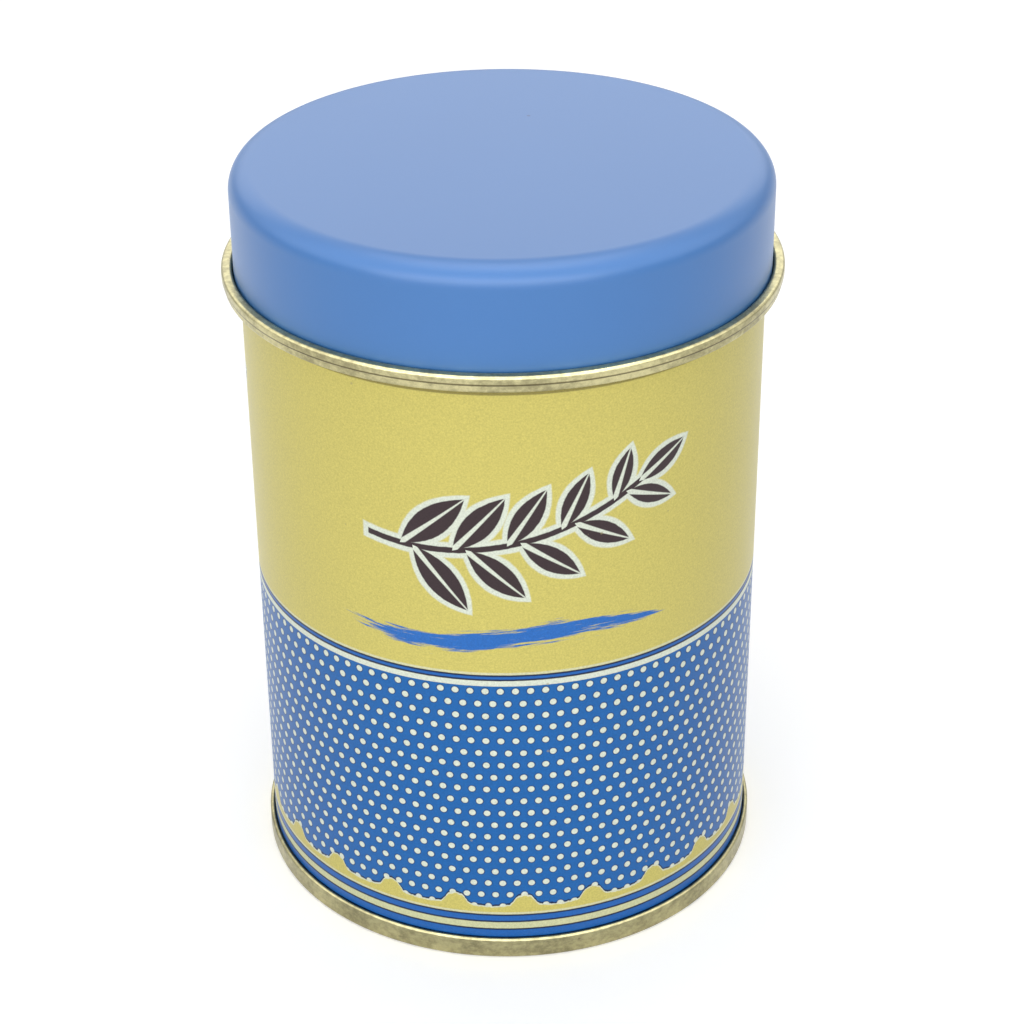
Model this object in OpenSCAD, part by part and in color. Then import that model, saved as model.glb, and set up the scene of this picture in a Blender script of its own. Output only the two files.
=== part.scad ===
// Round tinplate spice jar: a seamed can with a raised neck and a slip lid.
// Millimetres, +Z up, origin at the middle of the base.
// Every piece is one sheet of tin, so each is drawn as a strip that follows the sheet's
// centre line through its runs and bends, and is then turned about the jar's axis.

/* [Body] */
// Outer diameter of the printed body
body_d = 65; // [50:0.5:110]
// Height of the neck seam's crown above the table
body_h = 84.2; // [50:0.1:180]
// Thickness of the tinplate
sheet = 0.21; // [0.18:0.01:0.3]

/* [Lid] */
// How far the lid's side stands out past the body, on each side
lid_overhang = 0.7; // [0.5:0.05:2]
// Height of the lid from its hem to its top
lid_h = 14.7; // [11:0.1:30]
// Outer radius of the corner between the lid's top and side
lid_corner_r = 2.8; // [1:0.1:5]
// Height of the folded hem inside the lid's lower edge
hem_h = 2.4; // [1:0.1:5]
// Gap between the lid's side and the hem folded up inside it
hem_gap = 0.1; // [0.06:0.02:0.3]

/* [Neck] */
// How far the mouth stays below the lid's rounded corner
neck_drop = 0.3; // [0:0.1:4]
// Radius of the curl round the mouth, to the sheet's middle
mouth_curl_r = 0.45; // [0.25:0.05:1]
// Clearance between the neck and the lid's hem
neck_clearance = 0.12; // [0.08:0.01:0.4]
// Clearance between the lid's side and the neck seam
seam_clearance = 0.13; // [0.08:0.01:0.4]
// Gap left under the resting lid
seat_gap = 0.02; // [0.01:0.01:0.2]

/* [Seams] */
// Height of the seam round the base
foot_seam_h = 2.9; // [2.4:0.05:4]
// Height of the seam round the neck
neck_seam_h = 2.15; // [2:0.05:4]
// How far the upper half of the neck seam stands out
neck_seam_lip = 0.2; // [0.05:0.01:0.4]
// Gap between the folded layers of a seam
seam_gap = 0.03; // [0.02:0.01:0.06]
// Radius of a seam's crown corners, to the sheet's middle
crown_r = 0.3; // [0.2:0.01:0.4]
// Depth of sealing compound between a seam's crown and the body's flange
compound_h = 0.2; // [0.1:0.01:0.3]
// Clearance past the tip of each hook
hook_gap = 0.05; // [0.03:0.01:0.1]

/* [Base] */
// Height of the groove's top above the table
groove_h = 4; // [3.4:0.1:6]
// Radius of the groove's bends, to the sheet's middle
groove_r = 0.45; // [0.3:0.05:0.8]
// Straight part of the groove's inner side
groove_side = 0.4; // [0.1:0.1:1]
// Diameter of the base's middle, where it steps down towards the table
step_d = 44; // [20:1:46]
// Drop of the base's middle
step_h = 0.7; // [0.5:0.1:1.2]

/* [Side seam] */
// Width of the lock seam down the back of the body
lock_w = 3; // [2:0.1:5]
// Gap between the folded layers of the lock seam
lock_gap = 0.04; // [0.02:0.01:0.08]
// Distance of the lock seam's ends from the foot seam and the shoulder
lock_notch = 1.5; // [0.5:0.1:4]

/* [Hidden] */
$fn = 96;

// Sizes in whole microns, so that runs and bends meet exactly
function micron(x) = round(x * 1000) / 1000;
t = 2 * micron(sheet / 2);
gap = micron(seam_gap);
pitch = t + gap;                          // from one folded layer to the next
fold_out = pitch + t / 2;                 // outside of the bend at a hook's root

// Radii to the sheet's middle, from the body's wall outwards
wall_r = micron(body_d / 2) - t / 2;
lid_r = wall_r + t / 2 + micron(lid_overhang);
chuck_r = lid_r + micron(seam_clearance) + t / 2;     // neck ring's wall outside the lid
neck_wall_r = lid_r - 2 * t - micron(hem_gap) - micron(neck_clearance) - t / 2;
rim_wall_r = chuck_r + pitch;             // body's wall inside the neck seam
shoulder_r = micron((rim_wall_r - wall_r) / 2);       // each of the shoulder's two bends
rim_r = wall_r + 2 * shoulder_r;
collar_r = rim_r - pitch;
crown = micron(crown_r);

// Levels
foot_fold_z = t + micron(compound_h) + fold_out;      // root of the body's lower hook
foot_top_z = micron(foot_seam_h) - fold_out;          // root of the base's hook
rim_z = micron(body_h);
neck_fold_z = rim_z - foot_fold_z;                    // root of the body's upper hook
neck_low_z = rim_z - micron(neck_seam_h) + fold_out;  // root of the neck ring's hook
shoulder_z = neck_low_z - micron(t / 4);              // top of the shoulder's upper bend
collar_bend = shoulder_r - pitch;                     // follows inside the shoulder
floor_z = shoulder_z - collar_bend + t / 2;           // floor of the channel round the neck
lid_low_z = floor_z + micron(seat_gap);
lid_top_z = lid_low_z + micron(lid_h);
curl = micron(mouth_curl_r);
neck_bend = 3 * t / 2;                                // foot of the neck
panel_bend = micron(step_h) / 2;
compound_fit = 0.01;                                  // film left round the compound

// One step along a path: [length, 0, side shift] runs straight, [radius, 1] bends left
// and [radius, -1] bends right, by a quarter turn
function left_of(d) = [-d[1], d[0]];
function shift_of(s) = len(s) > 2 ? s[2] : 0;
function bend_centre(p, d, s) = p + s[0] * s[1] * left_of(d);
function next_place(p, d, s) =
  s[1] == 0 ? p + s[0] * d + shift_of(s) * left_of(d) : bend_centre(p, d, s) + s[0] * d;
function next_way(d, s) = s[1] == 0 ? d : s[1] * left_of(d);

module run(p, q, n) {
  polygon([p + n, q + n, q - n, p - n]);
}

module bend(c, r, a, b) {
  reach = r + t;
  intersection() {
    translate(c) difference() {
      circle(r = r + t / 2);
      circle(r = r - t / 2);
    }
    polygon([c, c + reach * a, c + reach * (a + b), c + reach * b]);
  }
}

function walk(place, way, path) =
  [for (i = 0, p = place, d = way; i < len(path);
        p = next_place(p, d, path[i]), d = next_way(d, path[i]), i = i + 1) [p, d, path[i]]];

// A sheet whose section starts at a place, heads one way and follows a path,
// turned about the jar's axis
module turned_sheet(place, way, path) {
  union() for (w = walk(place, way, path)) rotate_extrude() {
    p = w[0];
    d = w[1];
    s = w[2];
    n = left_of(d);
    if (s[1] == 0) run(p, next_place(p, d, s), n * t / 2);
    else bend(bend_centre(p, d, s), s[0], -s[1] * n, d);
  }
}

up = [0, 1];
down = [0, -1];
out = [1, 0];

// Body: lower hook, wall, shoulder and upper hook, with a lock seam down the back
foot_hook = foot_top_z - micron(hook_gap) - foot_fold_z;
neck_hook = neck_fold_z - micron(hook_gap) - neck_low_z;

module body_sheet() {
  turned_sheet([wall_r + 2 * pitch, foot_fold_z + foot_hook], down, [
    [foot_hook, 0], [pitch, -1], [pitch, -1],
    [shoulder_z - 2 * shoulder_r - foot_fold_z, 0],
    [shoulder_r, -1], [shoulder_r, 1],
    [neck_fold_z - shoulder_z, 0], [pitch, -1], [pitch, -1], [neck_hook, 0]]);
}

// Lock seam: the sheet's two edges are folded back and hooked into each other. From the
// outside in, its four layers are 0 the wall, 1 and 2 the hooked edges, 3 the wall's other end.
lock_low = micron(groove_h) + micron(lock_notch);
lock_high = shoulder_z - 2 * shoulder_r - micron(lock_notch);
wall_in = wall_r - t / 2;
layer = t + lock_gap;
half_lock = lock_w / 2;

// Part of a ring between two radii, from one distance to another along the back of the wall
module back_arc(r0, r1, s0, s1) {
  far = 2 * r1;
  a0 = 90 + s0 / wall_in * 180 / PI;
  a1 = 90 + s1 / wall_in * 180 / PI;
  intersection() {
    difference() {
      circle(r = r1);
      circle(r = r0);
    }
    polygon([[0, 0], far * [cos(a0), sin(a0)], far * [cos(a1), sin(a1)]]);
  }
}

// Gap inside a layer's own numbered face, and gap across a layer at a hook's tip
module slit_along(k, s0, s1) {
  back_arc(wall_in - k * layer - lock_gap, wall_in - k * layer, s0, s1);
}
module slit_across(k, s) {
  back_arc(wall_in - k * layer - lock_gap, wall_in - (k - 1) * layer, s, s + lock_gap);
}

module lock_strip() {
  back_arc(wall_in - 3 * layer, wall_r, -half_lock, half_lock + layer);
}

module lock_slits() {
  slit_along(0, -half_lock - t, half_lock - t);
  slit_across(1, half_lock - layer);
  slit_along(1, t - half_lock, half_lock - t);
  slit_across(2, t - half_lock);
  slit_along(2, t - half_lock, half_lock + lock_gap);
  back_arc(wall_in - 2 * layer - lock_gap, wall_in + 2 * t, half_lock, half_lock + lock_gap);
}

module along_back() {
  translate([0, 0, lock_low]) linear_extrude(lock_high - lock_low) children();
}

module body_shell() {
  color("#d2c673") difference() {
    union() {
      body_sheet();
      along_back() lock_strip();
    }
    along_back() lock_slits();
  }
}

// Base: hook, seam, crown on the table, recess, groove and stepped panel
module bottom_end() {
  chuck = wall_r - pitch;
  hook_r = wall_r + pitch;
  groove_top = micron(groove_h) - t / 2;
  g = micron(groove_r);
  side = micron(groove_side);
  step_r = micron(step_d / 2);
  color("#b7b08c") turned_sheet([hook_r, foot_top_z - foot_hook], up, [
    [foot_hook, 0], [pitch, -1], [pitch, -1],
    [foot_top_z - t / 2 - crown, 0], [crown, -1],
    [hook_r + 2 * pitch - chuck - 2 * crown, 0], [crown, -1],
    [groove_top - g - t / 2 - crown, 0], [g, 1], [g, 1],
    [side, 0], [g, -1],
    [chuck - 3 * g - step_r - panel_bend, 0], [panel_bend, 1], [panel_bend, -1],
    [step_r - panel_bend, 0]]);
}

// Neck ring: hook, seam, crown, channel for the lid, neck and curled mouth
module neck_ring() {
  hook_r = rim_r + pitch;
  low = micron((neck_seam_h - fold_out) / 3);         // plain lower third of the seam
  jog = low / 2;                                      // height in which its lip steps out
  lip = micron(neck_seam_lip);
  high = rim_z - t / 2 - crown - neck_low_z - low - jog;
  side = neck_wall_r + neck_bend;
  top = lid_top_z - micron(lid_corner_r) - micron(neck_drop) - curl - t / 2;
  color("#b7b08c") turned_sheet([hook_r, neck_low_z + neck_hook], down, [
    [neck_hook, 0], [pitch, 1], [pitch, 1],
    [low, 0], [jog, 0, -lip], [high, 0], [crown, 1],
    [hook_r + 2 * pitch + lip - collar_r - 2 * crown, 0], [crown, 1],
    [rim_z - t / 2 - crown - shoulder_z, 0], [collar_bend, -1],
    [collar_r - collar_bend - side, 0], [neck_bend, -1],
    [top - floor_z + t / 2 - neck_bend, 0], [curl, 1], [curl, 1], [curl, 1]]);
}

// Lid: flat top, rounded corner, side and inward hem
module lid() {
  corner = micron(lid_corner_r) - t / 2;
  side_r = lid_r - t / 2;
  fold = t / 2 + micron(hem_gap / 2);
  color("#6c9ad3") turned_sheet([0, lid_top_z - t / 2], out, [
    [side_r - corner, 0], [corner, -1],
    [lid_top_z - t / 2 - corner - lid_low_z - t / 2 - fold, 0],
    [fold, -1], [fold, -1], [micron(hem_h) - fold - t / 2, 0]]);
}

// Sealing compound: a soft ring between a seam's crown and the flange folded under it
module compound(flange_r, low_z) {
  w = 4 * pitch - 2 * crown;
  color("#8f8a80") rotate_extrude()
    translate([flange_r + pitch - w / 2, low_z + compound_fit])
      square([w, micron(compound_h) - 2 * compound_fit]);
}

module foot_compound() {
  compound(wall_r, t);
}

module neck_compound() {
  compound(rim_r, rim_z - t - micron(compound_h));
}

body_shell();
bottom_end();
neck_ring();
lid();
foot_compound();
neck_compound();
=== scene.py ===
from math import atan, cos, pi, radians, sin

import bmesh
import bpy
from mathutils import Euler, Matrix, Vector


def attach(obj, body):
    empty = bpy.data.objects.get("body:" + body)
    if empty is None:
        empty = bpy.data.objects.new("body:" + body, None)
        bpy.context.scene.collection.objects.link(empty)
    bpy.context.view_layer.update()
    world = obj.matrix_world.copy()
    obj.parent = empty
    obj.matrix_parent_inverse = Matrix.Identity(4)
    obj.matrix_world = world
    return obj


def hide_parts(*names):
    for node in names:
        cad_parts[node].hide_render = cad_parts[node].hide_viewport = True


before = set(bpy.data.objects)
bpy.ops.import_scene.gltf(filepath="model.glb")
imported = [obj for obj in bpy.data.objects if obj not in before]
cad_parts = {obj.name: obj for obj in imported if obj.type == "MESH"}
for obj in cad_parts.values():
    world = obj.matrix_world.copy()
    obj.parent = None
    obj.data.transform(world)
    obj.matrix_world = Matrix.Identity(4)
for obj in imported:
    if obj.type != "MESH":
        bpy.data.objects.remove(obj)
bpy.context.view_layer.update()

# A round printed spice tin with a slip lid. Sizes are in millimetres unless a note says otherwise.
scene = bpy.context.scene
mm = 0.001

# The camera stands where the photograph was taken from
view = {
    "place": (0, -0.2814, 0.2079),    # metres
    "lens": 86.99,
    "sensor": 36,
    "down": 29.744,                   # degrees below level
    "right": 0.165,
    "roll": -0.562,
    "near": 0.01,                     # nearest distance seen, metres
}


def setCamera():
    lens = bpy.data.cameras.new("photoView")
    lens.lens = view["lens"]
    lens.sensor_width = view["sensor"]
    lens.clip_start = view["near"]
    camera = bpy.data.objects.new("photoView", lens)
    turn = Euler((radians(90 - view["down"]), 0, -radians(view["right"]))).to_matrix()
    turn = turn @ Matrix.Rotation(radians(view["roll"]), 3, "Z")
    camera.matrix_world = Matrix.Translation(view["place"]) @ turn.to_4x4()
    scene.collection.objects.link(camera)
    scene.camera = camera


# Short hands for shader nodes

def feed(tree, socket, value):
    if isinstance(value, bpy.types.NodeSocket):
        tree.links.new(value, socket)
    else:
        socket.default_value = value


def calc(tree, operation, *values):
    node = tree.nodes.new("ShaderNodeMath")
    node.operation = operation
    for socket, value in zip(node.inputs, values):
        feed(tree, socket, value)
    return node.outputs[0]


def ramp(tree, value, low, high):
    node = tree.nodes.new("ShaderNodeMapRange")
    node.interpolation_type = "SMOOTHSTEP"
    feed(tree, node.inputs["Value"], value)
    feed(tree, node.inputs["From Min"], low)
    feed(tree, node.inputs["From Max"], high)
    return node.outputs[0]


def centred(tree, value):
    return calc(tree, "SUBTRACT", value, 0.5)


def between(tree, part, low, high):
    return calc(tree, "MULTIPLY_ADD", part, calc(tree, "SUBTRACT", high, low), low)


def inside(tree, reach, soft):    # 1 where a distance is below zero
    return calc(tree, "SUBTRACT", 1, ramp(tree, reach, -soft, soft))


def band(tree, height, low, high, soft):
    above = ramp(tree, calc(tree, "SUBTRACT", height, low), -soft, soft)
    return calc(tree, "MULTIPLY", above, inside(tree, calc(tree, "SUBTRACT", height, high), soft))


def lay(tree, mask, below, above):
    node = tree.nodes.new("ShaderNodeMix")
    node.data_type = "RGBA"
    feed(tree, node.inputs[0], mask)
    feed(tree, node.inputs[6], below)
    feed(tree, node.inputs[7], above)
    return node.outputs[2]


def noise(tree, place, scale, detail=2.0, rough=0.5):
    node = tree.nodes.new("ShaderNodeTexNoise")
    feed(tree, node.inputs["Vector"], place)
    feed(tree, node.inputs["Scale"], scale)
    feed(tree, node.inputs["Detail"], detail)
    feed(tree, node.inputs["Roughness"], rough)
    return node.outputs[0]


def stretch(tree, place, scale):
    node = tree.nodes.new("ShaderNodeMapping")
    feed(tree, node.inputs["Vector"], place)
    feed(tree, node.inputs["Scale"], scale)
    return node.outputs[0]


def joined(tree, x, y, z=0.0):
    node = tree.nodes.new("ShaderNodeCombineXYZ")
    for socket, value in zip(node.inputs, (x, y, z)):
        feed(tree, socket, value)
    return node.outputs[0]


def lighten(tree, colour, factor):
    node = tree.nodes.new("ShaderNodeHueSaturation")
    feed(tree, node.inputs["Color"], colour)
    feed(tree, node.inputs["Value"], factor)
    return node.outputs[0]


def bump(tree, height, distance):
    node = tree.nodes.new("ShaderNodeBump")
    feed(tree, node.inputs["Height"], height)
    node.inputs["Distance"].default_value = distance
    return node.outputs[0]


def ink(red, green, blue):
    plain = [((c / 255 + 0.055) / 1.055) ** 2.4 for c in (red, green, blue)]
    return (*plain, 1)


def newGroup(name, inputs, outputs):
    group = bpy.data.node_groups.new(name, "ShaderNodeTree")
    for label, value in inputs.items():
        kind = "NodeSocketVector" if isinstance(value, tuple) else "NodeSocketFloat"
        socket = group.interface.new_socket(name=label, in_out="INPUT", socket_type=kind)
        socket.default_value = value
    for label in outputs:
        group.interface.new_socket(name=label, in_out="OUTPUT", socket_type="NodeSocketFloat")
    return group, group.nodes.new("NodeGroupInput").outputs, group.nodes.new("NodeGroupOutput").inputs


def useGroup(tree, group, **values):
    node = tree.nodes.new("ShaderNodeGroup")
    node.node_tree = group
    for label, value in values.items():
        feed(tree, node.inputs[label], value)
    return node.outputs


def newMaterial(name):
    material = bpy.data.materials.new(name)
    material.use_nodes = True
    tree = material.node_tree
    place = tree.nodes.new("ShaderNodeTexCoord").outputs["Object"]
    return material, tree, tree.nodes["Principled BSDF"].inputs, place


# Where a point lies on the jar, in millimetres: round it from the front, above the table, and from the axis

def makePlaceGroup():
    group, given, made = newGroup("placeOnJar", {"place": (0, 0, 0)}, ["around", "height", "radius"])
    parts = group.nodes.new("ShaderNodeSeparateXYZ")
    feed(group, parts.inputs[0], given["place"])
    x, y, z = parts.outputs
    angle = calc(group, "ARCTAN2", x, calc(group, "MULTIPLY", y, -1))
    feed(group, made["around"], calc(group, "MULTIPLY", angle, tin["bodyRadius"]))
    feed(group, made["height"], calc(group, "DIVIDE", z, mm))
    square = calc(group, "ADD", calc(group, "MULTIPLY", x, x), calc(group, "MULTIPLY", y, y))
    feed(group, made["radius"], calc(group, "DIVIDE", calc(group, "SQRT", square), mm))
    return group


# Surface marks; scales count features in a metre
surface = {
    "speckSoft": 0.02,
    "waveScale": 45,
    "grainScale": 4400,
    "grainDetail": 3,
    "grainRough": 0.75,
}


# Small chips and dust, a few of many cells

def makeSpeckGroup():
    group, given, made = newGroup("specks", {"place": (0, 0, 0), "apart": 2.0, "share": 0.2, "size": 0.1},
                                  ["mask"])
    cells = group.nodes.new("ShaderNodeTexVoronoi")
    feed(group, cells.inputs["Vector"], given["place"])
    feed(group, cells.inputs["Scale"], calc(group, "DIVIDE", 1 / mm, given["apart"]))
    pick = group.nodes.new("ShaderNodeSeparateColor")
    feed(group, pick.inputs[0], cells.outputs["Color"])
    chosen = calc(group, "LESS_THAN", pick.outputs[0], given["share"])
    reach = calc(group, "MULTIPLY", given["size"], pick.outputs[1])
    near = inside(group, calc(group, "SUBTRACT", cells.outputs["Distance"], reach), surface["speckSoft"])
    feed(group, made["mask"], calc(group, "MULTIPLY", chosen, near))
    return group


# Slow waves and fine grain of a coated sheet, both about zero

def makeUnevenGroup():
    group, given, made = newGroup("unevenSheet", {"place": (0, 0, 0)}, ["wave", "grain"])
    wave = noise(group, given["place"], surface["waveScale"])
    grain = noise(group, given["place"], surface["grainScale"], surface["grainDetail"], surface["grainRough"])
    feed(group, made["wave"], centred(group, wave))
    feed(group, made["grain"], centred(group, grain))
    return group


# One pointed leaf of a printed sprig: distance outside it, and distance from its rib

def makeLeafGroup():
    group, given, made = newGroup("printedLeaf", {"across": 0.0, "up": 0.0, "x": 0.0, "y": 0.0, "turn": 0.0,
                                                  "length": 8.0, "width": 3.0}, ["reach", "rib"])
    x = calc(group, "SUBTRACT", given["across"], given["x"])
    y = calc(group, "SUBTRACT", given["up"], given["y"])
    c = calc(group, "COSINE", given["turn"])
    s = calc(group, "SINE", given["turn"])
    along = calc(group, "ADD", calc(group, "MULTIPLY", x, c), calc(group, "MULTIPLY", y, s))
    aside = calc(group, "SUBTRACT", calc(group, "MULTIPLY", y, c), calc(group, "MULTIPLY", x, s))
    part = calc(group, "DIVIDE", along, given["length"])
    swell = calc(group, "MULTIPLY", part, calc(group, "SUBTRACT", 1, part))
    bulge = calc(group, "MULTIPLY", calc(group, "MULTIPLY", swell, 2), given["width"])
    off = calc(group, "ABSOLUTE", aside)
    feed(group, made["reach"], calc(group, "SUBTRACT", off, bulge))
    feed(group, made["rib"], calc(group, "MULTIPLY_ADD", part, sprig["ribTaper"], off))
    return group


# Tinplate: four sheets folded together, with the same sections as the CAD solids
tin = {
    "sheet": 0.21,
    "bodyRadius": 32.5,
    "bodyTop": 84.2,
    "seamGap": 0.03,
    "hookGap": 0.05,
    "crown": 0.3,
    "compound": 0.2,
    "turns": 256,         # faces round the jar
    "bendStep": 0.07,     # longest step round a bend
    "bendSteps": (5, 16),
    "hold": 0.12,         # short edge beside a bend, which keeps the flats flat
    "weld": 0.0005,
}
foot = {"seam": 2.9, "grooveTop": 4, "bend": 0.45, "side": 0.4, "stepRadius": 22, "step": 0.7}
neck = {"seam": 2.15, "lip": 0.2, "curl": 0.45, "clearance": 0.12, "seamClearance": 0.13, "seat": 0.02,
        "drop": 0.3}
cap = {"overhang": 0.7, "height": 14.7, "corner": 2.8, "hem": 2.4, "hemGap": 0.1}
lock = {"width": 3, "gap": 0.04, "notch": 1.5}

sheet = tin["sheet"]
half = sheet / 2
pitch = sheet + tin["seamGap"]
foldOut = pitch + half
crown = tin["crown"]
wallRadius = tin["bodyRadius"] - half
lidRadius = tin["bodyRadius"] + cap["overhang"]
collarRadius = lidRadius + neck["seamClearance"] + half
neckRadius = lidRadius - 2 * sheet - cap["hemGap"] - neck["clearance"] - half
rimRadius = collarRadius + pitch
shoulder = (rimRadius - wallRadius) / 2
footFold = sheet + tin["compound"] + foldOut
footTop = foot["seam"] - foldOut
neckFold = tin["bodyTop"] - footFold
neckLow = tin["bodyTop"] - neck["seam"] + foldOut
shoulderTop = neckLow - sheet / 4
collarBend = shoulder - pitch
channelFloor = shoulderTop - collarBend + half
lidLow = channelFloor + neck["seat"]
lidTop = lidLow + cap["height"]
footHook = footTop - tin["hookGap"] - footFold
neckHook = neckFold - tin["hookGap"] - neckLow
up = (0, 1)
down = (0, -1)
out = (1, 0)


def leftOf(way):
    return Vector((-way.y, way.x))


# A section line in the x-z plane: (length, 0) runs on, and (radius, 1) or (radius, -1) bends
# a quarter turn to the left or right
def drawLine(mesh, place, way, path):
    place = Vector(place)
    way = Vector(way)
    tip = mesh.verts.new((place.x, 0, place.y))

    def grow():
        return bmesh.ops.extrude_vert_indiv(mesh, verts=[tip])["verts"][0]

    for length, bend in path:
        side = leftOf(way)
        if bend:
            fewest, most = tin["bendSteps"]
            centre = place + length * bend * side
            steps = min(most, max(fewest, round(length * pi / 2 / tin["bendStep"])))
            turn = Matrix.Rotation(bend * pi / 2 / steps, 3, Vector((0, -1, 0)))
            for _ in range(steps):
                tip = grow()
                bmesh.ops.rotate(mesh, verts=[tip], cent=(centre.x, 0, centre.y), matrix=turn)
            place = centre + length * way
            way = bend * side
        else:
            move = length * way
            hold = tin["hold"] * move.normalized()
            moves = [hold, move - 2 * hold, hold] if move.length > 4 * tin["hold"] else [move]
            for part in moves:
                tip = grow()
                bmesh.ops.translate(mesh, verts=[tip], vec=(part.x, 0, part.y))
            place = place + move


def faceOutwards(mesh):    # the widest face tells which way round the sheet is
    bmesh.ops.recalc_face_normals(mesh, faces=mesh.faces[:])
    centre = sum((v.co for v in mesh.verts), Vector()) / len(mesh.verts)
    widest = max(mesh.faces, key=lambda face: face.calc_area())
    if widest.normal.dot(widest.calc_center_median() - centre) < 0:
        bmesh.ops.reverse_faces(mesh, faces=mesh.faces[:])


def makePiece(name, mesh, materials, body, nodes):
    bmesh.ops.remove_doubles(mesh, verts=mesh.verts[:], dist=tin["weld"])
    faceOutwards(mesh)
    bmesh.ops.transform(mesh, matrix=Matrix.Scale(mm, 4), verts=mesh.verts[:])
    for face in mesh.faces:
        face.smooth = True
    data = bpy.data.meshes.new(name)
    mesh.to_mesh(data)
    mesh.free()
    for material in materials:
        data.materials.append(material)
    piece = bpy.data.objects.new(name, data)
    scene.collection.objects.link(piece)
    skin = piece.modifiers.new("sheet", "SOLIDIFY")
    skin.thickness = sheet * mm
    skin.offset = 0
    skin.use_even_offset = True
    skin.material_offset = skin.material_offset_rim = len(materials) - 1
    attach(piece, body)
    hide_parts(*nodes)


def turnedSheet(name, place, way, path, materials, body, nodes):
    mesh = bmesh.new()
    drawLine(mesh, place, way, path)
    bmesh.ops.spin(mesh, geom=mesh.verts[:] + mesh.edges[:], cent=(0, 0, 0), axis=(0, 0, 1),
                   angle=2 * pi, steps=tin["turns"], use_merge=True)
    makePiece(name, mesh, materials, body, nodes)


def makeBody(coated, bare):
    turnedSheet("bodyWall", (wallRadius + 2 * pitch, footFold + footHook), down, [
        (footHook, 0), (pitch, -1), (pitch, -1),
        (shoulderTop - 2 * shoulder - footFold, 0), (shoulder, -1), (shoulder, 1),
        (neckFold - shoulderTop, 0), (pitch, -1), (pitch, -1), (neckHook, 0),
    ], [coated, bare], "jar", ["body_shell"])


# The lock seam inside the back of the body: two hooked edges, one in the other
def makeLockSeam(bare):
    layer = sheet + lock["gap"]
    edge = lock["width"] / 2 - half
    flat = edge - layer
    start = -half - lock["gap"] / 4
    mesh = bmesh.new()
    drawLine(mesh, (edge, start), down, [(layer + start, 0), (layer, -1), (2 * flat, 0)])
    drawLine(mesh, (edge + layer, start), down, [
        (2 * layer + start, 0), (layer, -1), (2 * edge - layer, 0),
        (layer, -1), (layer, -1), (2 * flat, 0)])
    low = foot["grooveTop"] + lock["notch"]
    high = shoulderTop - 2 * shoulder - lock["notch"]
    for point in mesh.verts:
        angle = pi / 2 + point.co.x / wallRadius
        radius = wallRadius + point.co.z
        point.co = (radius * cos(angle), radius * sin(angle), low)
    grown = bmesh.ops.extrude_edge_only(mesh, edges=mesh.edges[:])["geom"]
    risen = [item for item in grown if isinstance(item, bmesh.types.BMVert)]
    bmesh.ops.translate(mesh, verts=risen, vec=(0, 0, high - low))
    makePiece("lockSeam", mesh, [bare], "jar", ["body_shell"])


def makeBottom(bare):
    chuck = wallRadius - pitch
    hook = wallRadius + pitch
    bend = foot["bend"]
    drop = foot["step"] / 2
    turnedSheet("bottomEnd", (hook, footTop - footHook), up, [
        (footHook, 0), (pitch, -1), (pitch, -1),
        (footTop - half - crown, 0), (crown, -1),
        (hook + 2 * pitch - chuck - 2 * crown, 0), (crown, -1),
        (foot["grooveTop"] - half - bend - half - crown, 0), (bend, 1), (bend, 1),
        (foot["side"], 0), (bend, -1),
        (chuck - 3 * bend - foot["stepRadius"] - drop, 0), (drop, 1), (drop, -1),
        (foot["stepRadius"] - drop, 0),
    ], [bare], "jar", ["bottom_end"])


def makeNeck(bare):
    hook = rimRadius + pitch
    low = (neck["seam"] - foldOut) / 3
    ledge = neck["lip"] / 2    # the lip steps out in two tight bends
    high = tin["bodyTop"] - half - crown - neckLow - low - 2 * ledge
    bend = 1.5 * sheet
    side = neckRadius + bend
    top = lidTop - cap["corner"] - neck["drop"] - neck["curl"] - half
    turnedSheet("neckRing", (hook, neckLow + neckHook), down, [
        (neckHook, 0), (pitch, 1), (pitch, 1),
        (low, 0), (ledge, -1), (ledge, 1), (high, 0), (crown, 1),
        (hook + 2 * pitch + neck["lip"] - collarRadius - 2 * crown, 0), (crown, 1),
        (tin["bodyTop"] - half - crown - shoulderTop, 0), (collarBend, -1),
        (collarRadius - collarBend - side, 0), (bend, -1),
        (top - channelFloor + half - bend, 0), (neck["curl"], 1), (neck["curl"], 1), (neck["curl"], 1),
    ], [bare], "jar", ["neck_ring"])


def makeLid(coated, bare):
    corner = cap["corner"] - half
    side = lidRadius - half
    fold = half + cap["hemGap"] / 2
    turnedSheet("slipLid", (0, lidTop - half), out, [
        (side - corner, 0), (corner, -1),
        (lidTop - half - corner - lidLow - half - fold, 0),
        (fold, -1), (fold, -1), (cap["hem"] - fold - half, 0),
    ], [coated, bare], "lid", ["lid"])


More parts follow.
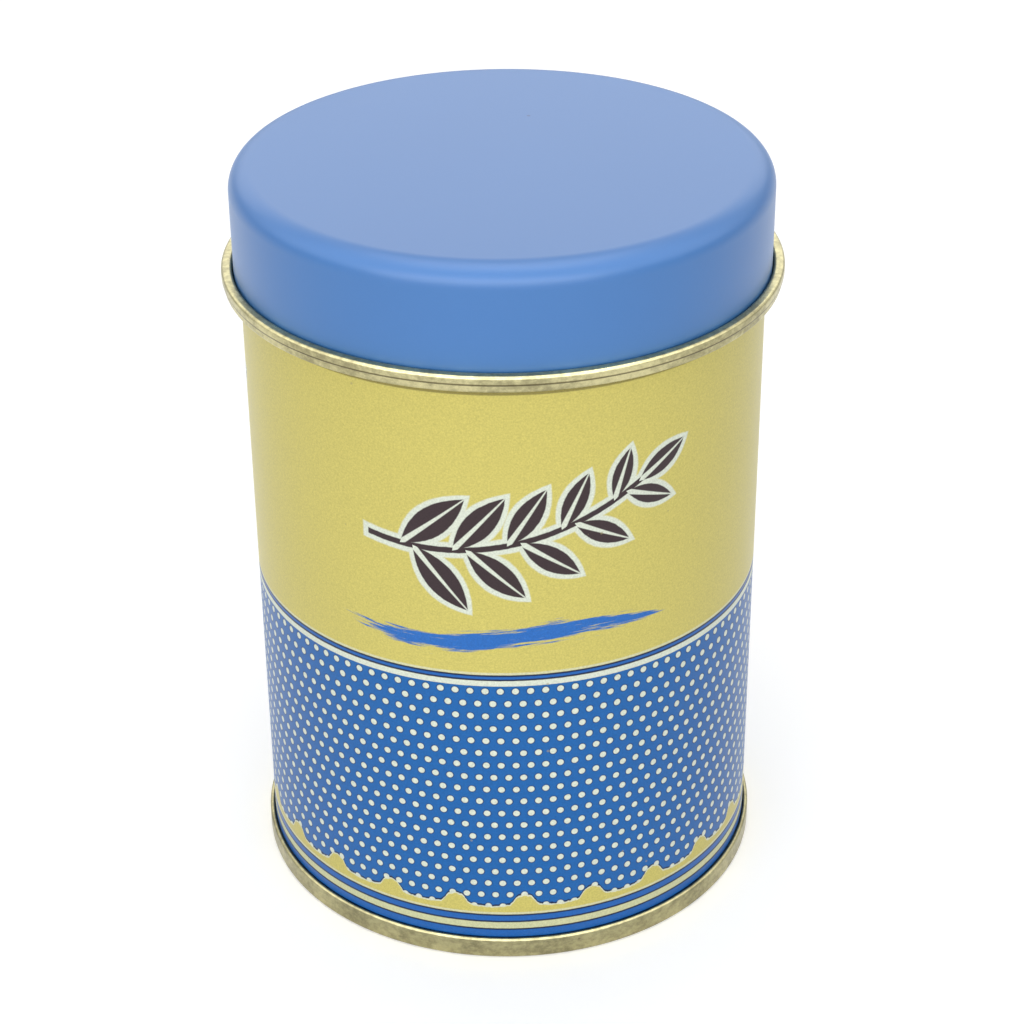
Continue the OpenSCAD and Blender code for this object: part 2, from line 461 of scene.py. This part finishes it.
# The print: a yellow field over a blue dotted one, with stripes and a scalloped edge
printed = {
    "yellow": ink(195, 184, 99),
    "blue": ink(10, 92, 162),
    "stripeBlue": ink(20, 92, 170),
    "cream": ink(206, 213, 198),
    "lowCream": ink(196, 198, 156),
    "rim": ink(5, 30, 64),
    # colour of the painted shade below the neck seam
    "brown": ink(50, 36, 40),
    "brushBlue": ink(34, 100, 178),
    "underSeamShade": ink(84, 74, 38),
    "speck": ink(150, 140, 100),
    "blueBands": [(2.62, 4.22), (5.2, 6.48), (42.18, 43.02)],
    "paleLines": [6.48, 43.02],
    "paleWidth": 0.34,
    "paleStrength": 0.55,
    "paleSoft": 0.08,
    "fieldTop": 41.42,
    "lobeLow": 7.8,
    "lobeSag": 0.85,      # how far a lobe hangs below its ends
    "bumpHigh": 1.05,
    "bumpFlat": 0.75,     # half widths of a bump's top and foot
    "bumpFoot": 1.95,
    "lobes": 23,
    "lobeShift": 1.85,
    "notch": 0.35,        # how far the scallops' edge wanders
    "notchScale": 2300,
    "outline": (-0.22, 0.04),     # from below to above the scallops' edge
    "outlineStrength": 0.8,
    "dotsRound": 111,
    "firstRow": 40.66,
    "rowStep": 1.8235,
    "dotRadius": 0.42,
    "trap": 0.25,         # dark edge where two inks overlap
    "trapSoft": 0.05,
    "dotTrap": 0.12,
    "dotTrapSoft": 0.09,
    "dotTrapStrength": 0.75,
    "soft": 0.045,        # half width of a printed edge
    "fineSoft": 0.06,
    "wander": 0.22,       # how far printed edges wander, and the shares that lines, dots and sprig take
    "wanderScale": 1500,
    "wanderDetail": 3,
    "lineShare": 0.3,
    "dotShare": 0.4,
    "sprigShare": 0.5,
    "corner": (80.8, 82.5),       # heights of the painted shade below the neck seam
    "underSeamShadeSoft": 0.1,
    "underSeamShadeStrength": 0.65,
    "specks": {"apart": 1.6, "share": 0.06, "size": 0.12},
    "speckStrength": 0.5,
    "grainShade": 0.8,
    "waveShade": 0.06,
    "rough": 0.36,
    "grainRough": 0.14,
    "grainRelief": 0.04,
    "waveRelief": 0.6,
    "relief": 0.06,
    "ior": 1.33,
    "coat": 0.12,
    "coatRough": 0.2,
}
seamLine = {
    "bare": ink(186, 178, 150),
    "dark": ink(60, 55, 48),
    "margin": 0.35,       # half widths of the unprinted margin and of the seam's dark line
    "marginSoft": 0.05,
    "line": 0.06,
    "lineSoft": 0.04,
}
sprig = {
    "repeats": 3,
    "middle": 63.5,
    "scale": 1.22,
    "stemHalf": 14,       # half length, then half width
    "stemWidth": 0.32,
    "stemDrop": 2,
    "slope": 0.2,
    "curve": 0.014,
    "pairs": 5,
    "firstPair": -10.5,
    "pairStep": 5.3,
    "stagger": 1.3,
    "spread": 0.8,        # radians between leaf and stem
    "leaf": 8.6,
    "leafLess": 0.75,     # each pair is shorter than the one before
    "leafWidth": 0.36,    # share of its length
    "lastLeaf": 6.2,
    "lastBack": 0.6,
    "rib": 0.3,
    "ribTaper": 0.25,
    "ribFar": 9,
    "ribCut": 9,          # how fast a rib ends outside its leaf
    "halo": 0.55,
    "haloSoft": 0.12,
}
brushMark = {
    "middle": -12.5,      # from the sprig's middle
    "half": 17,           # half length, then half width
    "width": 1.15,
    "taper": 4,
    "wave": 0.7,
    "waveRate": 0.19,
    "streakAlong": 0.16,
    "streakAcross": 2.6,
    "streakDetail": 4,
    "streakRough": 0.65,
    "dryLevel": 0.42,
    "dryness": 3.6,
    "soft": 0.25,
}


def setGloss(shader, settings):
    shader["IOR"].default_value = settings["ior"]
    shader["Coat Weight"].default_value = settings["coat"]
    shader["Coat Roughness"].default_value = settings["coatRough"]


def stemHeight(x):
    return sprig["curve"] * x * x + sprig["slope"] * x - sprig["stemDrop"]


def sprigLeaves():
    leaves = []
    for pair in range(sprig["pairs"]):
        x = sprig["firstPair"] + sprig["pairStep"] * pair
        stemTurn = atan(2 * sprig["curve"] * x + sprig["slope"])
        length = sprig["leaf"] - sprig["leafLess"] * pair
        leaves.append((x, stemTurn + sprig["spread"], length))
        leaves.append((x + sprig["stagger"], stemTurn - sprig["spread"], length))
    end = sprig["stemHalf"]
    endTurn = atan(2 * sprig["curve"] * end + sprig["slope"])
    leaves.append((end - sprig["lastBack"], endTurn, sprig["lastLeaf"]))
    return leaves


# Distance outside the sprig's leaves and stem, and outside their ribs
def drawSprig(tree, across, high):
    bow = calc(tree, "MULTIPLY", calc(tree, "MULTIPLY", across, across), sprig["curve"])
    line = calc(tree, "MULTIPLY_ADD", across, sprig["slope"], bow)
    line = calc(tree, "SUBTRACT", line, sprig["stemDrop"])
    off = calc(tree, "ABSOLUTE", calc(tree, "SUBTRACT", high, line))
    ends = calc(tree, "SUBTRACT", calc(tree, "ABSOLUTE", across), sprig["stemHalf"])
    reach = calc(tree, "MAXIMUM", calc(tree, "SUBTRACT", off, sprig["stemWidth"]), ends)
    rib = sprig["ribFar"]
    for x, turn, length in sprigLeaves():
        leaf = useGroup(tree, leafGroup, across=across, up=high, x=x, y=stemHeight(x), turn=turn,
                        length=length, width=sprig["leafWidth"] * length)
        outsideLeaf = calc(tree, "MAXIMUM", calc(tree, "MULTIPLY", leaf["reach"], sprig["ribCut"]), 0)
        rib = calc(tree, "MINIMUM", rib, calc(tree, "ADD", leaf["rib"], outsideLeaf))
        reach = calc(tree, "MINIMUM", reach, leaf["reach"])
    return reach, rib


# A dry brush mark under the sprig
def drawBrush(tree, across, high):
    wave = calc(tree, "SINE", calc(tree, "MULTIPLY", across, brushMark["waveRate"]))
    middle = calc(tree, "MULTIPLY_ADD", wave, brushMark["wave"], brushMark["middle"])
    off = calc(tree, "SUBTRACT", high, middle)
    taper = calc(tree, "DIVIDE", calc(tree, "ABSOLUTE", across), brushMark["half"])
    taper = calc(tree, "POWER", taper, brushMark["taper"])
    width = calc(tree, "MULTIPLY", calc(tree, "SUBTRACT", 1, taper), brushMark["width"])
    bristles = joined(tree, calc(tree, "MULTIPLY", across, brushMark["streakAlong"]),
                      calc(tree, "MULTIPLY", off, brushMark["streakAcross"]))
    streaks = noise(tree, bristles, 1, brushMark["streakDetail"], brushMark["streakRough"])
    dry = calc(tree, "SUBTRACT", streaks, brushMark["dryLevel"])
    reach = calc(tree, "SUBTRACT", calc(tree, "ABSOLUTE", off), width)
    return calc(tree, "MULTIPLY_ADD", dry, brushMark["dryness"], reach)


# The blue field: staggered rows of dots over a scalloped lower edge; its mask, outline and colour
def drawField(tree, place, around, height, ragged, girth):
    soft = printed["soft"]
    lobe = girth / printed["lobes"]
    part = calc(tree, "DIVIDE", calc(tree, "SUBTRACT", around, printed["lobeShift"]), lobe)
    part = calc(tree, "FRACT", calc(tree, "ADD", part, 0.5))
    fromBump = calc(tree, "MULTIPLY", calc(tree, "ABSOLUTE", centred(tree, part)), lobe)
    rise = calc(tree, "SUBTRACT", 1, ramp(tree, fromBump, printed["bumpFlat"], printed["bumpFoot"]))
    edge = calc(tree, "MULTIPLY_ADD", rise, printed["bumpHigh"], printed["lobeLow"])
    fromMiddle = calc(tree, "SUBTRACT", 1, calc(tree, "DIVIDE", fromBump, lobe / 2))
    edge = calc(tree, "MULTIPLY_ADD", calc(tree, "POWER", fromMiddle, 2), printed["lobeSag"], edge)
    notch = centred(tree, noise(tree, place, printed["notchScale"]))
    edge = calc(tree, "MULTIPLY_ADD", notch, printed["notch"], edge)
    overEdge = calc(tree, "SUBTRACT", height, edge)
    field = calc(tree, "MULTIPLY", ramp(tree, overEdge, -soft, soft),
                 inside(tree, calc(tree, "SUBTRACT", height, printed["fieldTop"]), soft))
    outline = band(tree, overEdge, *printed["outline"], printed["fineSoft"])
    outline = calc(tree, "MULTIPLY", outline, printed["outlineStrength"])
    fieldEdge = band(tree, overEdge, 0, printed["trap"], printed["trapSoft"])

    rows = calc(tree, "DIVIDE", calc(tree, "SUBTRACT", printed["firstRow"], height), printed["rowStep"])
    rows = calc(tree, "ADD", rows, 0.5)
    even = calc(tree, "SUBTRACT", 1, calc(tree, "MODULO", calc(tree, "FLOOR", rows), 2))
    dotPitch = girth / printed["dotsRound"]
    column = calc(tree, "MULTIPLY_ADD", even, 0.5, calc(tree, "DIVIDE", around, dotPitch))
    column = calc(tree, "FRACT", calc(tree, "ADD", column, 0.5))
    dotX = calc(tree, "MULTIPLY", centred(tree, column), dotPitch)
    dotY = calc(tree, "MULTIPLY", centred(tree, calc(tree, "FRACT", rows)), printed["rowStep"])
    far = calc(tree, "SQRT", calc(tree, "MULTIPLY_ADD", dotX, dotX, calc(tree, "MULTIPLY", dotY, dotY)))
    far = calc(tree, "SUBTRACT", far, printed["dotRadius"])
    far = calc(tree, "MULTIPLY_ADD", ragged, printed["dotShare"], far)
    ring = inside(tree, calc(tree, "SUBTRACT", far, printed["dotTrap"]), printed["dotTrapSoft"])
    ring = calc(tree, "MULTIPLY", ring, printed["dotTrapStrength"])
    ground = lay(tree, calc(tree, "MAXIMUM", ring, fieldEdge), printed["blue"], printed["rim"])
    return field, outline, lay(tree, inside(tree, far, soft), ground, printed["cream"])


def layStripes(tree, height, colour):
    soft = printed["soft"]
    trap = printed["trap"]
    for line in printed["paleLines"]:
        pale = band(tree, height, line, line + printed["paleWidth"], printed["paleSoft"])
        colour = lay(tree, calc(tree, "MULTIPLY", pale, printed["paleStrength"]), colour, printed["cream"])
    lowest, middle, highest = printed["blueBands"]
    colour = lay(tree, band(tree, height, lowest[1], middle[0], soft), colour, printed["lowCream"])
    colour = lay(tree, band(tree, height, printed["fieldTop"], highest[0], soft), colour, printed["cream"])
    for low, high in printed["blueBands"]:
        colour = lay(tree, band(tree, height, low, high, soft), colour, printed["rim"])
        core = band(tree, height, low + trap, high - trap, printed["fineSoft"])
        colour = lay(tree, core, colour, printed["stripeBlue"])
    return colour


# Sprigs with a pale halo and a brush mark, spaced evenly round the yellow field
def laySprigs(tree, around, height, ragged, girth, colour):
    fine = printed["fineSoft"]
    apart = girth / sprig["repeats"]
    part = calc(tree, "FRACT", calc(tree, "ADD", calc(tree, "DIVIDE", around, apart), 0.5))
    across = calc(tree, "MULTIPLY", centred(tree, part), apart / sprig["scale"])
    high = calc(tree, "DIVIDE", calc(tree, "SUBTRACT", height, sprig["middle"]), sprig["scale"])
    reach, rib = drawSprig(tree, across, high)
    reach = calc(tree, "MULTIPLY_ADD", ragged, printed["sprigShare"], reach)
    stroke = inside(tree, drawBrush(tree, across, high), brushMark["soft"])
    colour = lay(tree, stroke, colour, printed["brushBlue"])
    halo = inside(tree, calc(tree, "SUBTRACT", reach, sprig["halo"]), sprig["haloSoft"])
    colour = lay(tree, halo, colour, printed["cream"])
    colour = lay(tree, inside(tree, reach, fine), colour, printed["brown"])
    return lay(tree, inside(tree, calc(tree, "SUBTRACT", rib, sprig["rib"]), fine), colour, printed["cream"])


def makePrintedTin():
    material, tree, shader, place = newMaterial("printedTin")
    spot = useGroup(tree, placeGroup, place=place)
    uneven = useGroup(tree, unevenGroup, place=place)
    around = spot["around"]
    girth = 2 * pi * tin["bodyRadius"]
    wander = centred(tree, noise(tree, place, printed["wanderScale"], printed["wanderDetail"]))
    ragged = calc(tree, "MULTIPLY", wander, printed["wander"])
    height = calc(tree, "MULTIPLY_ADD", ragged, printed["lineShare"], spot["height"])

    field, outline, dotted = drawField(tree, place, around, height, ragged, girth)
    colour = lay(tree, outline, printed["yellow"], printed["cream"])
    colour = lay(tree, field, colour, dotted)
    colour = layStripes(tree, height, colour)
    colour = laySprigs(tree, around, spot["height"], ragged, girth, colour)

    # painted shade in the corner below the neck seam
    corner = band(tree, spot["height"], *printed["corner"], printed["underSeamShadeSoft"])
    colour = lay(tree, calc(tree, "MULTIPLY", corner, printed["underSeamShadeStrength"]), colour, printed["underSeamShade"])

    # an unprinted margin along the side seam
    fromSeam = calc(tree, "SUBTRACT", girth / 2, calc(tree, "ABSOLUTE", around))
    margin = inside(tree, calc(tree, "SUBTRACT", fromSeam, seamLine["margin"]), seamLine["marginSoft"])
    groove = inside(tree, calc(tree, "SUBTRACT", fromSeam, seamLine["line"]), seamLine["lineSoft"])
    colour = lay(tree, margin, colour, seamLine["bare"])
    colour = lay(tree, groove, colour, seamLine["dark"])

    speck = useGroup(tree, speckGroup, place=place, **printed["specks"])
    specks = calc(tree, "MULTIPLY", speck["mask"], printed["speckStrength"])
    colour = lay(tree, specks, colour, printed["speck"])
    shade = calc(tree, "MULTIPLY_ADD", uneven["grain"], printed["grainShade"], 1)
    shade = calc(tree, "MULTIPLY_ADD", uneven["wave"], printed["waveShade"], shade)
    feed(tree, shader["Base Color"], lighten(tree, colour, shade))
    feed(tree, shader["Metallic"], margin)
    rough = calc(tree, "MULTIPLY_ADD", uneven["grain"], printed["grainRough"], printed["rough"])
    feed(tree, shader["Roughness"], rough)
    setGloss(shader, printed)
    relief = calc(tree, "MULTIPLY", uneven["wave"], printed["waveRelief"])
    relief = calc(tree, "MULTIPLY_ADD", uneven["grain"], printed["grainRelief"], relief)
    feed(tree, shader["Normal"], bump(tree, calc(tree, "SUBTRACT", relief, groove), printed["relief"] * mm))
    return material


enamel = {
    "blue": ink(61, 113, 175),
    "chip": ink(40, 66, 120),
    "dust": ink(214, 222, 236),
    "chips": {"apart": 3.4, "share": 0.05, "size": 0.07},
    "chipStrength": 0.7,
    "dusts": {"apart": 2.3, "share": 0.04, "size": 0.08},
    "dustStretch": (1.0, 0.7, 1.3),
    "dustStrength": 0.6,
    "grainShade": 0.07,
    "waveShade": 0.05,
    "rough": 0.38,
    "grainRough": 0.1,
    "grainRelief": 0.05,
    "relief": 0.05,
    "ior": 1.43,
    "coat": 0.35,
    "coatRough": 0.36,
}


def makeLidEnamel():
    material, tree, shader, place = newMaterial("lidEnamel")
    uneven = useGroup(tree, unevenGroup, place=place)
    shade = calc(tree, "MULTIPLY_ADD", uneven["wave"], enamel["waveShade"], 1)
    shade = calc(tree, "MULTIPLY_ADD", uneven["grain"], enamel["grainShade"], shade)
    colour = lighten(tree, enamel["blue"], shade)
    chips = useGroup(tree, speckGroup, place=place, **enamel["chips"])
    dust = useGroup(tree, speckGroup, place=stretch(tree, place, enamel["dustStretch"]), **enamel["dusts"])
    colour = lay(tree, calc(tree, "MULTIPLY", chips["mask"], enamel["chipStrength"]), colour, enamel["chip"])
    colour = lay(tree, calc(tree, "MULTIPLY", dust["mask"], enamel["dustStrength"]), colour, enamel["dust"])
    feed(tree, shader["Base Color"], colour)
    rough = calc(tree, "MULTIPLY_ADD", uneven["grain"], enamel["grainRough"], enamel["rough"])
    feed(tree, shader["Roughness"], rough)
    setGloss(shader, enamel)
    relief = calc(tree, "MULTIPLY_ADD", uneven["grain"], enamel["grainRelief"], uneven["wave"])
    feed(tree, shader["Normal"], bump(tree, relief, enamel["relief"] * mm))
    return material


# Bare tinplate, with painted shade in the neck seam's step and along the foot's lowest edge, and painted
# light and shade from foot to neck
tinplate = {
    "bright": ink(192, 185, 141),
    "dull": ink(139, 133, 101),
    # colour of the painted shade in the neck seam's step and along the foot's lowest edge
    "paintedShade": ink(70, 62, 42),
    "stain": ink(96, 84, 60),
    # painted shade under the neck seam's step: its heights, softness, strength, and the radii over which it
    # fades in
    "stepShade": (82.96, 83.26),
    "stepShadeSoft": 0.05,
    "stepShadeStrength": 0.75,
    "stepShadeFade": 0.4,
    # painted shade along the lowest edge of the foot seam, where it sits on the floor
    "footEdgeShade": 0.32,
    "footEdgeShadeFrom": (32.95, 33.1),
    "footEdgeShadeStrength": 0.8,
    # painted shade at the foot and painted light at the neck, on the same tin
    "footPaintedShade": 0.86,
    "neckPaintedLight": 1.16,
    "rollAround": 0.12,   # marks of the rolling mill
    "rollWave": 0.4,
    "rollScale": 11,
    "rollDetail": 3,
    "rollRough": 0.6,
    "rollShade": (0.9, 1.1),
    "rollRelief": 0.8,
    "scuffStretch": (1.0, 1.0, 1.4),
    "scuffScale": 900,
    "scuffDetail": 4,
    "scuffRough": 0.75,
    "scuffShare": 0.55,
    "scuffRelief": 0.5,
    "cloudScale": 130,
    "cloudDetail": 3,
    "cloudRough": 0.55,
    "dullRange": (0.36, 0.66),
    "stains": {"apart": 1.1, "share": 0.14, "size": 0.16},
    "stainStrength": 0.45,
    "rough": (0.18, 0.43),
    "relief": 0.014,
}


def makeBareTin():
    material, tree, shader, place = newMaterial("bareTin")
    spot = useGroup(tree, placeGroup, place=place)
    uneven = useGroup(tree, unevenGroup, place=place)
    height = spot["height"]
    rolled = joined(tree, calc(tree, "MULTIPLY", spot["around"], tinplate["rollAround"]), height,
                    calc(tree, "MULTIPLY", uneven["wave"], tinplate["rollWave"]))
    roll = noise(tree, rolled, tinplate["rollScale"], tinplate["rollDetail"], tinplate["rollRough"])
    scuff = noise(tree, stretch(tree, place, tinplate["scuffStretch"]), tinplate["scuffScale"],
                  tinplate["scuffDetail"], tinplate["scuffRough"])
    cloud = noise(tree, place, tinplate["cloudScale"], tinplate["cloudDetail"], tinplate["cloudRough"])
    mixed = between(tree, tinplate["scuffShare"], cloud, scuff)
    colour = lay(tree, ramp(tree, mixed, *tinplate["dullRange"]), tinplate["bright"], tinplate["dull"])
    stain = useGroup(tree, speckGroup, place=place, **tinplate["stains"])
    colour = lay(tree, calc(tree, "MULTIPLY", stain["mask"], tinplate["stainStrength"]), colour,
                 tinplate["stain"])

    # painted shade under the neck seam's step, on its outer faces only
    outer = ramp(tree, spot["radius"], lidRadius, lidRadius + tinplate["stepShadeFade"])
    line = calc(tree, "MULTIPLY", outer, band(tree, height, *tinplate["stepShade"], tinplate["stepShadeSoft"]))
    colour = lay(tree, calc(tree, "MULTIPLY", line, tinplate["stepShadeStrength"]), colour, tinplate["paintedShade"])
    # painted shade along the foot seam's lowest edge
    outer = ramp(tree, spot["radius"], *tinplate["footEdgeShadeFrom"])
    line = calc(tree, "MULTIPLY", outer, inside(tree, height, tinplate["footEdgeShade"]))
    colour = lay(tree, calc(tree, "MULTIPLY", line, tinplate["footEdgeShadeStrength"]), colour, tinplate["paintedShade"])

    # painted light and shade: the tin is darker near the foot and lighter towards the neck
    aloft = ramp(tree, height, foot["grooveTop"], shoulderTop)
    shade = calc(tree, "MULTIPLY", between(tree, roll, *tinplate["rollShade"]),
                 between(tree, aloft, tinplate["footPaintedShade"], tinplate["neckPaintedLight"]))
    feed(tree, shader["Base Color"], lighten(tree, colour, shade))
    shader["Metallic"].default_value = 1
    feed(tree, shader["Roughness"], between(tree, mixed, *tinplate["rough"]))
    relief = calc(tree, "MULTIPLY", roll, tinplate["rollRelief"])
    relief = calc(tree, "MULTIPLY_ADD", scuff, tinplate["scuffRelief"], relief)
    feed(tree, shader["Normal"], bump(tree, relief, tinplate["relief"] * mm))
    return material


sealant = {
    "dark": ink(118, 114, 104),
    "light": ink(160, 154, 142),
    "grainScale": 6000,
    "grainDetail": 3,
    "grainRough": 0.6,
    "rough": (0.65, 0.85),
    "relief": 0.01,
}


def makeSeamCompound():
    material, tree, shader, place = newMaterial("seamCompound")
    grain = noise(tree, place, sealant["grainScale"], sealant["grainDetail"], sealant["grainRough"])
    feed(tree, shader["Base Color"], lay(tree, grain, sealant["dark"], sealant["light"]))
    feed(tree, shader["Roughness"], between(tree, grain, *sealant["rough"]))
    feed(tree, shader["Normal"], bump(tree, grain, sealant["relief"] * mm))
    return material


# Studio: a pale floor, three wide soft lamps before, above and behind the jar, and a sky that is even
# apart from what gloss sees of it
studio = {
    "floor": 6,               # metres
    "floorColour": (0.82, 0.82, 0.815, 1),
    "floorGlow": 0.3,
    "sky": 0.42,
    "mirror": 1.15,           # what gloss sees of the back of the sky, of its front and of its dark foot
    "frontMirror": 2.9,
    "mirrorFoot": 0.4,
    "horizon": (0.06, 0.34),  # where that foot ends
    "ahead": (-0.1, 0.6),     # where the front turns into the back
    "lamps": [                # place, width and height in metres, and watts
        ((-0.12, -1.15, 0.46), 2.4, 0.7, 14.0),
        ((0.0, 0.05, 1.1), 0.9, 0.9, 4.7),
        ((-0.1, 1.5, 0.85), 2.6, 1.1, 6.5),
    ],
    "lampAim": (0, 0, 0.05),
}


def makeFloor():
    mesh = bmesh.new()
    bmesh.ops.create_grid(mesh, x_segments=1, y_segments=1, size=studio["floor"])
    data = bpy.data.meshes.new("paleFloor")
    mesh.to_mesh(data)
    mesh.free()
    floor = bpy.data.objects.new("paleFloor", data)
    scene.collection.objects.link(floor)
    material = bpy.data.materials.new("palePaper")
    material.use_nodes = True
    tree = material.node_tree
    tree.nodes.clear()
    paper = tree.nodes.new("ShaderNodeBsdfDiffuse")
    paper.inputs["Color"].default_value = studio["floorColour"]
    glow = tree.nodes.new("ShaderNodeEmission")
    path = tree.nodes.new("ShaderNodeLightPath").outputs
    seen = calc(tree, "MAXIMUM", path["Is Camera Ray"], path["Is Glossy Ray"])
    seen = calc(tree, "MAXIMUM", seen, path["Is Transmission Ray"])
    feed(tree, glow.inputs["Strength"], calc(tree, "MULTIPLY", seen, studio["floorGlow"]))
    both = tree.nodes.new("ShaderNodeAddShader")
    tree.links.new(paper.outputs[0], both.inputs[0])
    tree.links.new(glow.outputs[0], both.inputs[1])
    tree.links.new(both.outputs[0], tree.nodes.new("ShaderNodeOutputMaterial").inputs["Surface"])
    data.materials.append(material)


def makeSky():
    world = bpy.data.worlds.new("studioSky")
    world.use_nodes = True
    scene.world = world
    tree = world.node_tree
    tree.nodes.clear()
    back = tree.nodes.new("ShaderNodeBackground")
    path = tree.nodes.new("ShaderNodeLightPath").outputs
    parts = tree.nodes.new("ShaderNodeSeparateXYZ")
    feed(tree, parts.inputs[0], tree.nodes.new("ShaderNodeTexCoord").outputs["Generated"])
    room = ramp(tree, parts.outputs[2], *studio["horizon"])
    behind = ramp(tree, parts.outputs[1], *studio["ahead"])
    mirror = between(tree, behind, studio["frontMirror"], studio["mirror"])
    mirror = between(tree, room, studio["mirrorFoot"], mirror)
    seen = calc(tree, "MAXIMUM", path["Is Glossy Ray"], path["Is Transmission Ray"])
    level = between(tree, seen, studio["sky"], mirror)
    level = calc(tree, "MAXIMUM", level, path["Is Camera Ray"])
    feed(tree, back.inputs["Strength"], level)
    tree.links.new(back.outputs[0], tree.nodes.new("ShaderNodeOutputWorld").inputs["Surface"])
    back.inputs["Color"].default_value = (1, 1, 1, 1)


def makeLamps():
    for place, width, height, power in studio["lamps"]:
        light = bpy.data.lights.new("softLamp", "AREA")
        light.shape = "RECTANGLE"
        light.size = width
        light.size_y = height
        light.energy = power
        lamp = bpy.data.objects.new("softLamp", light)
        aim = (Vector(studio["lampAim"]) - Vector(place)).to_track_quat("-Z", "Y")
        lamp.visible_camera = False
        lamp.matrix_world = Matrix.Translation(place) @ aim.to_matrix().to_4x4()
        scene.collection.objects.link(lamp)


setCamera()
print("camera set")
placeGroup = makePlaceGroup()
speckGroup = makeSpeckGroup()
unevenGroup = makeUnevenGroup()
leafGroup = makeLeafGroup()
printedTin = makePrintedTin()
lidEnamel = makeLidEnamel()
bareTin = makeBareTin()
seamCompound = makeSeamCompound()
print("materials made")
makeBody(printedTin, bareTin)
makeLockSeam(bareTin)
makeBottom(bareTin)
makeNeck(bareTin)
makeLid(lidEnamel, bareTin)
for name in ("foot_compound", "neck_compound"):
    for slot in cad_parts[name].material_slots:
        slot.material = seamCompound
print("tin pieces turned")
makeFloor()
makeSky()
makeLamps()
scene.view_settings.view_transform = "Standard"
print("studio lit")
